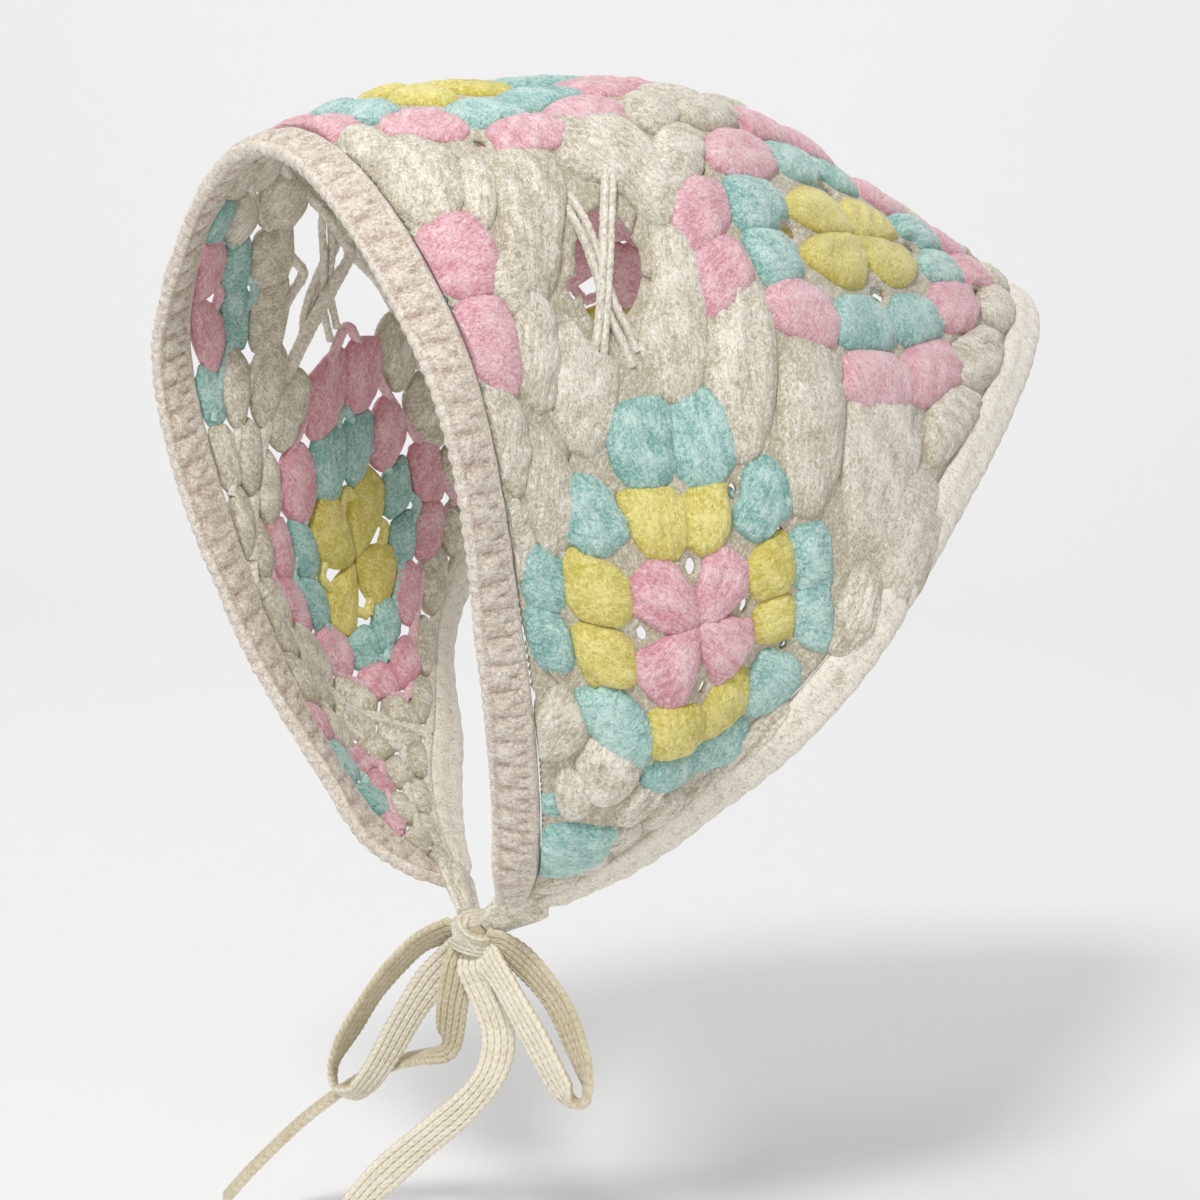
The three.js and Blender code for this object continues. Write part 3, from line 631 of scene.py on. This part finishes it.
def clusters(row):
    """Round, kind and corners of each cluster that the rounds give a square."""
    layout = LAYOUTS[row.get("layout", "full")]
    outs = [(1, 0), (0, 1), (-1, 0), (0, -1)]
    for side in range(4):
        near, far, base, top = layout["petal"]
        if row.get("right"):
            far, top = far + PETAL_LONGER, top + PETAL_BROADER
        yield 1, "petal", turned([(near, -base), (near, base), (far, -top), (far, top)], 90 * side)
        for ring in range(2, len(row["rounds"]) + 1):
            last = ring == LAST_ROUND
            if ring in layout["singles"] and not (last and side in row.get("skip", [])):
                near, far, base, top = layout["singles"][ring]
                for t in (LAST_SINGLES if last else (0,)):
                    yield ring, "single", turned(
                        [(near, t - base), (near, t + base), (far, t - top), (far, t + top)], 90 * side)
            near, far, base, top, fall = layout["pairs"][ring]
            corner = tuple(np.add(outs[side], outs[(side + 1) % 4]))
            if corner == row.get("tall") and ring == 3:
                far += TALL_MORE
            if corner == row.get("broad"):
                base, top = BROAD_TIMES * base, BROAD_TIMES * top
            if last and corner in row.get("loose", []):
                continue
            for hand in (-1, 1):
                if last and (side + (hand > 0)) % 4 in row.get("skip", []):
                    continue
                inner = [(near, 0.0), (near - fall / 2, hand * base)]
                outer = [(far, 0.0), (far - fall, hand * top)]
                ends = inner + outer if hand > 0 else inner[::-1] + outer[::-1]
                yield ring, "pair", turned(ends, 90 * side + 45)


SLOTS = {"square_crown": "cream_yarn", "square_side_left": "aqua_yarn", "square_side_right": "aqua_yarn",
         "square_back_left": "yellow_yarn", "square_back_right": "yellow_yarn",
         "half_temple_left": "pink_yarn", "half_temple_right": "pink_yarn",
         "half_chin_left": "aqua_yarn", "half_chin_right": "aqua_yarn"}
CORNER_POWER = {"petal": 2.6, "pair": 3.4, "single": 2.8, "free": 2.5}
CHAIN_SPACES = [-0.75, -0.25, 0.25, 0.75]
SPACE_MARGIN = 0.08
LOOSE_HOLE = (0.955, -0.03, 0.11)
GROUND_LINES, GROUND_EDGE, GROUND_RIBS = 61, 0.003, 16
GROUND_TOP, GROUND_UNDER = 0.4, 0.75


def openings(row):
    """Centre and radius of each hole in a square, in grid places: chain spaces and the loose corner's hole."""
    p, q = (g.ravel() for g in np.meshgrid(CHAIN_SPACES, CHAIN_SPACES, indexing="ij"))
    a, b = stretched(row, p, q)
    a = np.clip(a, row["corner"][0] + SPACE_MARGIN, row["corner"][0] + 1 - SPACE_MARGIN)
    b = np.clip(b, row["corner"][1] + SPACE_MARGIN, row["corner"][1] + 1 - SPACE_MARGIN)
    return [(*c, row["hole"] / 2) for c in zip(a, b)] + [LOOSE_HOLE]


def spread_round(holes, a, b):
    """Moves places out of the holes, so that clusters bend round them."""
    for ca, cb, radius in holes:
        reach = 1.5 * radius + 0.012
        d = np.hypot(a - ca, b - cb)
        scale = np.where(d < reach, (radius + d * (reach - radius) / reach) / np.maximum(d, 1e-6), 1)
        a, b = ca + (a - ca) * scale, cb + (b - cb) * scale
    return a, b


def ground(build, row, rng):
    """The bases and chains behind the clusters: a thin knitted ground, open at the holes."""
    n = GROUND_LINES
    line = np.linspace(GROUND_EDGE, 1 - GROUND_EDGE, n)
    a, b = np.meshgrid(row["corner"][0] + line, row["corner"][1] + line, indexing="ij")
    kept = np.ones((n - 1, n - 1), bool)
    flat = np.arange(n * n).reshape(n, n)
    cell = np.stack([flat[:-1, :-1], flat[1:, :-1], flat[1:, 1:], flat[:-1, 1:]], -1)
    middle_a, middle_b = (g.ravel()[cell].mean(-1) for g in (a, b))
    if row.get("half"):
        kept &= middle_a + middle_b > sum(row["corner"]) + 1.005
    a, b = a.ravel(), b.ravel()
    for ca, cb, radius in openings(row):
        inside = np.hypot(middle_a - ca, middle_b - cb) < radius
        rim = np.intersect1d(cell[inside], cell[~inside])
        scale = radius / np.maximum(np.hypot(a[rim] - ca, b[rim] - cb), 1e-6)
        a[rim], b[rim] = ca + (a[rim] - ca) * scale, cb + (b[rim] - cb) * scale
        kept &= ~inside
    point, normal = on_hood(row, a, b)
    p, q = 2 * (a - row["corner"][0]) - 1, 2 * (b - row["corner"][1]) - 1
    rib = np.abs(np.sin(np.pi * np.maximum(np.abs(p), np.abs(q)) * GROUND_RIBS)) ** 0.7
    relief = 0.3 * rib + lumps(rng, 2.4, point, 0.25)
    upper = point + normal * (GROUND_TOP + relief)[..., None]
    lower = point - normal * (GROUND_UNDER + relief)[..., None]
    top = cell[kept]
    quads = [top, top[:, ::-1] + n * n]
    padded = np.pad(kept, 1)
    for di, dj, first, second in ((0, -1, 0, 1), (1, 0, 1, 2), (0, 1, 2, 3), (-1, 0, 3, 0)):
        edge = cell[kept & ~padded[1 + di:n + di, 1 + dj:n + dj]]
        wall = [edge[:, second], edge[:, first], edge[:, first] + n * n, edge[:, second] + n * n]
        quads.append(np.stack(wall, -1))
    used, quads = np.unique(np.concatenate(quads), return_inverse=True)
    place = np.stack([p * 50, q * 50, np.zeros_like(p)], -1)
    # Painted shade: the ground is painted near its shade colour, as shade between the clusters, and darker in its
    # ribs.
    build.add(np.concatenate([upper, lower])[used], quads.reshape(-1, 4), "cream",
              np.concatenate([place] * 2)[used], np.concatenate([0.12 + 0.4 * relief] * 2)[used])


STRAND_STEPS, STRAND_STEP, STRAND_FACES = 8, 0.7, 10


def strand(build, grid, radius, yarn, row):
    """A bare two-ply strand through grid places (a, b, lift)."""
    line = smooth_curve(grid, STRAND_STEPS)
    point, normal = on_hood(row, line[:, 0], line[:, 1])
    pts, s = even(point + normal * line[:, 2:3], STRAND_STEP)
    wide, flat = carried_frames(pts)
    m = STRAND_FACES
    angle = 2 * np.pi * np.arange(m) / m
    swell = 1 + 0.22 * np.abs(np.cos(angle[None] - s[:, None] * 1.4)) + 0.05 * np.sin(s[:, None] * 0.9)
    v = pts[:, None] + radius * swell[..., None] * (
        wide[:, None] * np.cos(angle)[None, :, None] + flat[:, None] * np.sin(angle)[None, :, None])
    place = np.stack(np.broadcast_arrays(angle[None] * radius, s[:, None], 3.0), -1)
    # Painted shade: darker in the grooves between the plies.
    build.add(v, grid_quads(len(pts), m, True), yarn, place, 0.3 + 0.35 * swell)


# Pairs of strands that cross the loose corner where crown, temple, side and back meet.
CROSSING_RADIUS = 1.0
CROSSINGS = [
    [(0.83, 0.24, 0.3), (0.86, 0.17, 2.4), (0.89, 0.07, 2.4),
     (0.93, -0.03, 2.0), (0.96, -0.12, 2.4), (0.99, -0.2, 0.2)],
    [(0.85, 0.25, 0.3), (0.88, 0.18, 2.4), (0.91, 0.08, 2.4),
     (0.95, -0.02, 2.0), (0.98, -0.11, 2.4), (1.02, -0.19, 0.2)],
    [(0.79, 0.04, 0.2), (0.86, 0.0, 1.6), (0.94, -0.04, 1.0), (1.02, -0.09, 1.4), (1.1, -0.14, 0.2)],
    [(0.79, 0.01, 0.2), (0.86, -0.03, 1.6), (0.94, -0.07, 1.0), (1.02, -0.12, 1.4), (1.1, -0.17, 0.2)],
]


# How far a round's chain lies out of the hood, and its radius.
CHAIN_RIGHT, CHAIN_LEFT = (-0.4, 1.3), (-1.9, 1.1)
CHAIN_RIM = 0.985


def ring_chain(build, row, ring, yarn):
    """The chain of a round: it holds the clusters of the right side, and runs behind those of the left."""
    r = min(ring / LAST_ROUND, CHAIN_RIM)
    steps = np.linspace(-r, r, 4 * ring + 1)[:-1]
    square = ([(r, t) for t in steps] + [(-t, r) for t in steps]
              + [(-r, -t) for t in steps] + [(t, -r) for t in steps])
    square.append(square[0])
    if row.get("half"):
        square = [(p, q) for p, q in square if p + q > 0.02]
        square.sort(key=lambda c: c[1] - c[0])
    a, b = stretched(row, *np.array(square, float).T)
    lift, radius = CHAIN_RIGHT if row.get("right") else CHAIN_LEFT
    strand(build, np.stack([a, b, np.full_like(a, lift)], -1), radius, yarn, row)


def make_square(row, seed):
    rng = np.random.default_rng(seed)
    build = Build()
    if not row.get("right"):
        ground(build, row, rng)
    for ring, kind, corners in clusters(row) if row["rounds"] else []:
        middle = np.mean(corners, 0)
        if row.get("half") and middle.sum() < 0.06:
            continue
        puff(build, row, corners, row["rounds"][ring - 1], rng, CORNER_POWER[kind])
    for yarn, p, q, width, length, heading in FREE.get(row["name"], []):
        half_w, half_l = width / 2, length / 2
        base = 0.85 * half_w
        corners = turned([(-half_l, -base), (-half_l, base), (half_l, -half_w), (half_l, half_w)], heading)
        puff(build, row, [(p + x, q + y) for x, y in corners], yarn, rng, CORNER_POWER["free"], charted=False)
    for ring, yarn in enumerate(row["rounds"], 1):
        if row.get("right") or ring == 3:
            ring_chain(build, row, ring, yarn)
    if row["name"].startswith("square_side"):
        for line in CROSSINGS:
            strand(build, line, CROSSING_RADIUS, "cream", row)
    build.piece(row["name"], SLOTS[row["name"]], row["name"])


for seed, row in enumerate(CHART):
    make_square(row, 100 + seed)

# Trims. An edge runs from one chin corner to the other, with t = 0 at its middle, and the point inward of it
# tells which way the cloth lies.


def face_edge(t):
    p = left_point(np.abs(t) / 2, np.zeros_like(t))
    p[t < 0, 0] *= -1
    return p


def face_inward(t):
    p = hood(np.abs(t) / 2 + 0.01, 0.01 - np.abs(t) / 2)[0]
    p[t < 0, 0] *= -1
    return p


def hem_edge(t):
    p = left_point(np.full_like(t, 2.0), 1 - np.abs(t) / 3)
    p[t > 0, 0] *= -1
    return p


def hem_inward(t):
    p = left_point(np.full_like(t, 1.98), 1 - np.abs(t) / 3)
    p[t > 0, 0] *= -1
    return p


def edge_frames(edge, inward, t):
    step = 1e-3
    point = edge(t)
    along = unit(edge(t + step) - edge(t - step))
    return point, along, unit(np.cross(along, inward(t) - point))


def chin_narrowing(left):
    """Share of a trim's full width, by how much of its edge is left before the chin."""
    x = np.clip(left / CHIN_REACH, 0, 1)
    return CHIN_SHARE + (1 - CHIN_SHARE) * x * x * (3 - 2 * x)


TRIM_STEP, TRIM_FACES, TRIM_POWER = 0.6, 40, 0.8
END_GAP, EVENED = 0.02, 6
NARROW_LENGTH, TAPER_LENGTH = 9, 4


def trim(edge, inward, end, width, thickness, relief, yarn, seed):
    """A trim lofted along an edge, with a relief given over arc length and the way out of the cloth."""
    rng = np.random.default_rng(seed)
    t = np.linspace(-end + END_GAP, end - END_GAP, 4001)
    length = np.concatenate([[0], np.cumsum(np.linalg.norm(np.diff(edge(t), axis=0), axis=1))])
    n = int(length[-1] / TRIM_STEP)
    s = np.linspace(0, length[-1], n)
    t = np.interp(s, length, t)
    point, along, normal = edge_frames(edge, inward, t)
    # Frames are evened over about 12 mm, so that the relief runs smoothly through the squares' corners.
    reach = int(EVENED / TRIM_STEP)
    kernel = np.ones(2 * reach + 1) / (2 * reach + 1)
    padded = np.pad(normal, ((reach, reach), (0, 0)), mode="edge")
    normal = unit(np.stack([np.convolve(padded[:, k], kernel, "valid") for k in range(3)], -1))
    out = unit(np.cross(along, normal))
    m = TRIM_FACES
    angle = 2 * np.pi * np.arange(m) / m
    x = (1 - np.sign(np.cos(angle)) * np.abs(np.cos(angle)) ** TRIM_POWER) / 2
    y = np.sign(np.sin(angle)) * np.abs(np.sin(angle)) ** TRIM_POWER
    from_end = np.minimum(s, s[-1] - s)
    w = width * chin_narrowing(end - np.abs(t)) * np.clip(from_end / NARROW_LENGTH, 0.3, 1) ** 0.6
    gs, gx = np.meshgrid(s, x, indexing="ij")
    gy = np.broadcast_to(y, gs.shape)
    wide, up, shade = relief(gs, gx, gy)
    taper = np.clip(from_end / TAPER_LENGTH, 0.2, 1)[:, None] ** 0.5
    px = SEAM_GAP + gx * w[:, None] + wide * np.clip(gx * 2, 0, 1)
    py = gy * (thickness / 2) * taper + np.sign(gy) * up * taper * np.abs(gy)
    v = point[:, None] + out[:, None] * px[..., None] + normal[:, None] * py[..., None]
    v = v + lumps(rng, 7.0, v, 0.25)[..., None] * normal[:, None]
    build = Build()
    place = np.stack([gs, gx * width, gy * 2], -1)
    build.add(v, grid_quads(n, m, True), yarn, place, shade)
    for k in (0, n - 1):
        cap(build, v[k], (1, 0.4, 0), yarn, 0, 0.4, k == 0)
    return build


def band_relief(s, x, y):
    """Slanting bean stitches, a smooth column beside the squares and a beaded edge at the opening."""
    bead = np.abs(np.sin(np.pi * (s / 7.6 + 0.25 * x)))
    rung = np.abs(np.sin(np.pi * (s / 3.8 + 0.5 * x)))
    beads = np.exp(-((x - 0.66) / 0.17) ** 4)
    rungs = np.exp(-((x - 0.33) / 0.12) ** 4)
    column = np.exp(-((x - 0.1) / 0.08) ** 2)
    edge = np.exp(-((x - 0.95) / 0.07) ** 2)
    dip = np.exp(-((x - 0.85) / 0.035) ** 2)
    up = beads * (1.5 * bead ** 0.6 - 1.0) + rungs * (1.0 * rung ** 0.7 - 0.7) + 0.35 * column
    up = up + edge * (0.35 + 0.35 * rung) - 0.5 * dip
    wide = 0.6 * edge * (rung - 0.5)
    # Painted shade: darker in the dips between beads and rungs.
    return wide, up, 0.5 + 0.42 * up


def border_relief(s, x, y):
    """A smooth cord with strands that wind round it."""
    strand = np.abs(np.sin(np.pi * (s / 7.5 + 0.55 * np.sign(y) * x)))
    fine = np.abs(np.sin(np.pi * (s / 2.1 + 0.9 * np.sign(y) * x)))
    groove = np.exp(-((x - 0.45) / 0.07) ** 2)
    up = 0.35 * (strand ** 0.6 - 0.7) + 0.12 * fine - 0.45 * groove
    wide = 0.3 * (strand - 0.5)
    # Painted shade: darker in the groove and between the winding strands.
    return wide, up, 0.86 + 0.5 * up


band = trim(face_edge, face_inward, 4, BAND_WIDTH, BAND_THICKNESS, band_relief, "band", 21)
band.piece("front_band", "cream_yarn", "front_band")
border = trim(hem_edge, hem_inward, 3, BORDER_WIDTH, BORDER_THICKNESS, border_relief, "cream", 22)
border.piece("back_border", "cream_yarn", "back_border")

# Gathered corners and knot. Half widths of a gathered corner at its broad and its narrow end.
GATHER_BROAD, GATHER_NARROW = 8.2, 4.4
GATHER_SUNK, GATHER_INTO_KNOT = 4.0, 2.0
GATHER_SHIFT = np.array([1.2, 0, 2.0])


def gather(name, right):
    """The gathered corner of band and border that runs from the chin into the knot."""
    toward = unit(KNOT - CHIN)
    start = CHIN - toward * GATHER_SUNK + GATHER_SHIFT
    end = KNOT - toward * (knot_reach(toward) - GATHER_INTO_KNOT)
    n, m = 40, 48
    s = np.linspace(0, 1, n)
    centre = start + (end - start) * s[:, None]
    across = unit(np.cross(toward, np.array([1.0, 0, 0.3])))
    up = np.cross(toward, across)
    angle = 2 * np.pi * np.arange(m) / m
    folds = 1 + 0.08 * np.cos(5 * angle[None] + 2.2 * s[:, None] * np.pi / 2)
    wide = GATHER_BROAD + (GATHER_NARROW - GATHER_BROAD) * (s * s * (3 - 2 * s))
    thick = 3.4 - 0.5 * s
    close = np.sqrt(np.clip(1 - (1 - np.clip(s / 0.16, 0, 1)) ** 2, 0.01, 1))
    v = (centre[:, None] + across * (wide[:, None] * close[:, None] * folds * np.cos(angle))[..., None]
         + up * (thick[:, None] * close[:, None] * folds * np.sin(angle))[..., None])
    place = np.stack(np.broadcast_arrays(angle[None] * 3, s[:, None] * 14, 0.0), -1)
    if right:
        v = v * [-1, 1, 1]
    build = Build()
    quads = grid_quads(n, m, True)
    # Painted shade: darker in the troughs of the folds, lighter on their crests.
    build.add(v, quads[:, ::-1] if right else quads, "cream", place, 0.55 + 1.6 * (folds - 1))
    for k in (0, n - 1):
        cap(build, v[k], (1, 0), "cream", 0, 0.4, (k == 0) != right)
    build.piece(name, "tie_yarn", name)


gather("corner_left", False)
gather("corner_right", True)

# Each wrap is a turn of the flat tie round the knot: plane normal, offset along it and its share of size.
WRAPS = [((1.0, 0.1, 0.35), 0.4, 0.94), ((0.75, -0.2, 0.85), 2.0, 0.84), ((-0.8, 0.25, 0.75), 2.2, 0.82),
         ((0.15, 0.2, 1.0), -2.4, 0.8)]
WRAP_STEPS, WRAP_FACES, WRAP_HALF_WIDTH = 81, 21, 2.9
CORE_SHARE = 0.72
build = Build()
for normal, offset, share in WRAPS:
    axis = unit(np.array(normal))
    first = unit(np.cross(axis, [0.2, 1.0, 0.1]))
    second = np.cross(axis, first)
    angle = np.linspace(0, 2 * np.pi, WRAP_STEPS)
    ring = first * np.cos(angle)[:, None] + second * np.sin(angle)[:, None]
    path = KNOT + axis * offset + ring * share * (KNOT_SIZE / 2 - TIE_THICKNESS / 2)
    x, y = tape_section(WRAP_FACES)
    outward = unit(path - KNOT - axis * offset)
    gs, gx = np.meshgrid(angle * 6, x, indexing="ij")
    relief = knitted(gx, gs)
    v = (path[:, None] + axis * (WRAP_HALF_WIDTH * gx)[..., None]
         + outward[:, None] * ((TIE_THICKNESS / 2 - 0.2 + relief) * y)[..., None])
    place = np.stack([gx * 4, gs, np.full_like(gs, 5.0)], -1)
    # Painted shade: darker in the grooves of the knitting.
    build.add(v, grid_quads(len(path), len(x), True), "tie", place, 0.72 + 0.9 * relief)
# A ball fills the middle of the wraps.
n, m = 24, 32
lat = np.linspace(-np.pi / 2 + 1e-3, np.pi / 2 - 1e-3, n)
lon = 2 * np.pi * np.arange(m) / m
ball = np.stack([np.cos(lat)[:, None] * np.cos(lon), np.cos(lat)[:, None] * np.sin(lon),
                 np.repeat(np.sin(lat)[:, None], m, 1)], -1)
# Painted shade: the ball is painted dark, as shade inside the wraps.
build.add(KNOT + ball * KNOT_SIZE / 2 * CORE_SHARE, grid_quads(n, m, True), "tie", ball * 6,
          np.full((n, m), 0.35))
build.piece("bow_knot", "tie_yarn", "bow_knot")

# Floor, backdrop and soft studio light, in metres. The floor curves up into a wall behind the bonnet.
FLOOR_GAP = 0.006
FLOOR_NEAR, FLOOR_FAR, FLOOR_HALF_WIDTH = -2.5, 1.3, 4.0
CURVE_RADIUS, WALL_TOP = 0.7, 3.0
PAPER_DARK, PAPER_LIGHT, PAPER_GRAIN = 0.86, 0.88, 3
WORLD_STRENGTH = 0.5

floor_z = float(cad_box[0][2]) - FLOOR_GAP
profile = [(FLOOR_NEAR, 0.0), (FLOOR_FAR, 0.0)]
for a in np.linspace(0.1, np.pi / 2, 14):
    profile.append((FLOOR_FAR + CURVE_RADIUS * np.sin(a), CURVE_RADIUS - CURVE_RADIUS * np.cos(a)))
profile.append((FLOOR_FAR + CURVE_RADIUS, WALL_TOP))
back = -unit(TO_CAMERA[:2])
side = np.array([-back[1], back[0]])
vertices = []
for d, h in profile:
    for w in (-FLOOR_HALF_WIDTH, FLOOR_HALF_WIDTH):
        vertices.append((*(back * d + side * w), floor_z + h))
faces = [(2 * k, 2 * k + 1, 2 * k + 3, 2 * k + 2) for k in range(len(profile) - 1)]
mesh = bpy.data.meshes.new("floor")
mesh.from_pydata(vertices, [], faces)
mesh.polygons.foreach_set("use_smooth", [True] * len(faces))
floor = bpy.data.objects.new("floor", mesh)
bpy.context.scene.collection.objects.link(floor)
paper = bpy.data.materials.new("paper")
paper.use_nodes = True
shader = paper.node_tree.nodes["Principled BSDF"]
shader.inputs["Roughness"].default_value = 0.95
shader.inputs["Specular IOR Level"].default_value = 0.1
grain = paper.node_tree.nodes.new("ShaderNodeTexNoise")
grain.inputs["Scale"].default_value = PAPER_GRAIN
ramp = paper.node_tree.nodes.new("ShaderNodeMix")
ramp.data_type = "RGBA"
ramp.inputs["A"].default_value = (PAPER_DARK, PAPER_DARK, PAPER_DARK, 1)
ramp.inputs["B"].default_value = (PAPER_LIGHT, PAPER_LIGHT, PAPER_LIGHT, 1)
paper.node_tree.links.new(grain.outputs["Fac"], ramp.inputs["Factor"])
paper.node_tree.links.new(ramp.outputs["Result"], shader.inputs["Base Color"])
floor.data.materials.append(paper)


def area_light(name, place, aim, size, power):
    data = bpy.data.lights.new(name, "AREA")
    data.shape = "SQUARE"
    data.size = size
    data.energy = power
    light = bpy.data.objects.new(name, data)
    bpy.context.scene.collection.objects.link(light)
    light.location = place
    light.rotation_euler = (Vector(place) - Vector(aim)).to_track_quat("Z", "Y").to_euler()


def from_camera(right, up, toward):
    """Place right of the target, above it and toward the camera."""
    return tuple(metres(TARGET) + right * RIGHT + np.array([0, 0, up]) + toward * unit(TO_CAMERA * [1, 1, 0]))


middle = tuple(metres(TARGET))
area_light("key", from_camera(-0.35, 1.35, 1.3), middle, 0.35, 20)
area_light("top", from_camera(-0.5, 1.7, -0.2), middle, 1.4, 7)
area_light("wash", from_camera(0, 1.6, -0.8), from_camera(0, 1.0, -2.4), 1.5, 9)
bpy.context.scene.view_settings.view_transform = "Standard"
world = bpy.data.worlds.new("world")
bpy.context.scene.world = world
world.use_nodes = True
background = world.node_tree.nodes["Background"]
background.inputs["Color"].default_value = (1, 1, 1, 1)
background.inputs["Strength"].default_value = WORLD_STRENGTH
